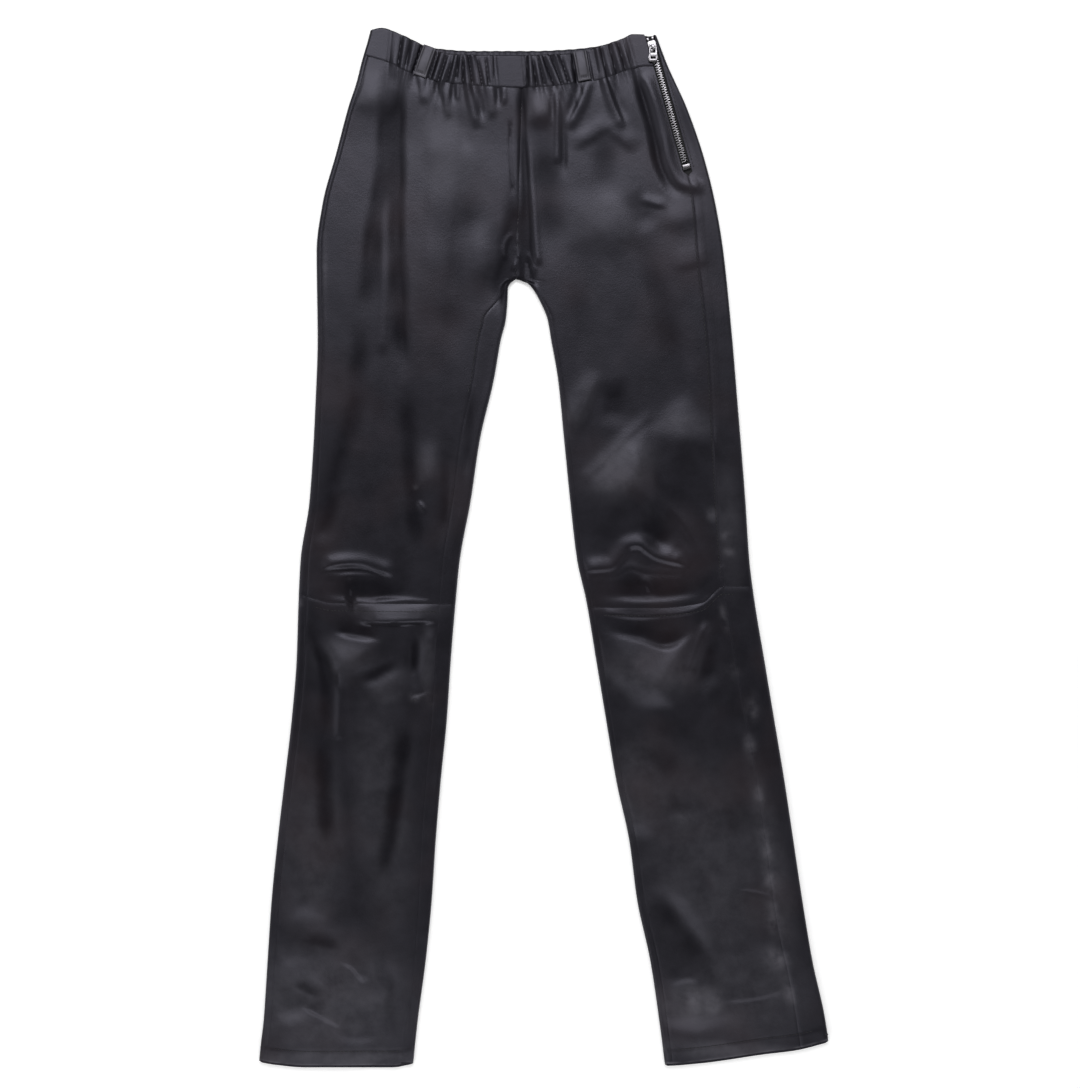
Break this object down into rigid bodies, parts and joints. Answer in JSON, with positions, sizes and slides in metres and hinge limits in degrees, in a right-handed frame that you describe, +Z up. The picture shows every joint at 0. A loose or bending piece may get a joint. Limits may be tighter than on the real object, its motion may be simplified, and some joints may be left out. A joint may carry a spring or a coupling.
{
  "type": "leather trousers laid flat",
  "caption": "Slim pull-on leather trousers laid flat on their back, with an elasticated gathered waistband, belt loops and a side zip with a swinging pull tab.",
  "frame": {"origin": "middle of the garment's length and width, on the surface that it lies on", "axes": "+Y along the garment from the hems to the waist, +X across to the wearer's left, +Z up out of the front"},
  "size_m": [0.5682, 1.0367, 0.0123],
  "materials": {
    "leather": "black nappa, soft sheen, fine grain",
    "tape": "woven black tape",
    "nickel": "bright nickel plate"
  },
  "bodies": {
    "garment": {"front_thigh_right": "leather", "front_thigh_left": "leather", "front_shin_right": "leather", "front_shin_left": "leather", "back_thigh_right": "leather", "back_thigh_left": "leather", "back_shin_right": "leather", "back_shin_left": "leather", "waistband": "leather", "belt_loop_front_right": "leather", "belt_loop_front_left": "leather", "belt_loop_back_right": "leather", "belt_loop_back_left": "leather", "zip_tape": "tape", "zip_chain": "nickel", "zip_top_stop_right": "nickel", "zip_top_stop_left": "nickel", "zip_bottom_stop": "nickel", "zip_slider": "nickel"},
    "pull_tab": {"zip_pull": "nickel"}
  },
  "joints": [
    {"name": "pull_tab_swing", "type": "hinge", "parent": "garment", "child": "pull_tab", "pos_m": [0.10892, 0.49798, 0.01005], "axis": [-1, 0, 0], "range_deg": [0, 170]}
  ]
}
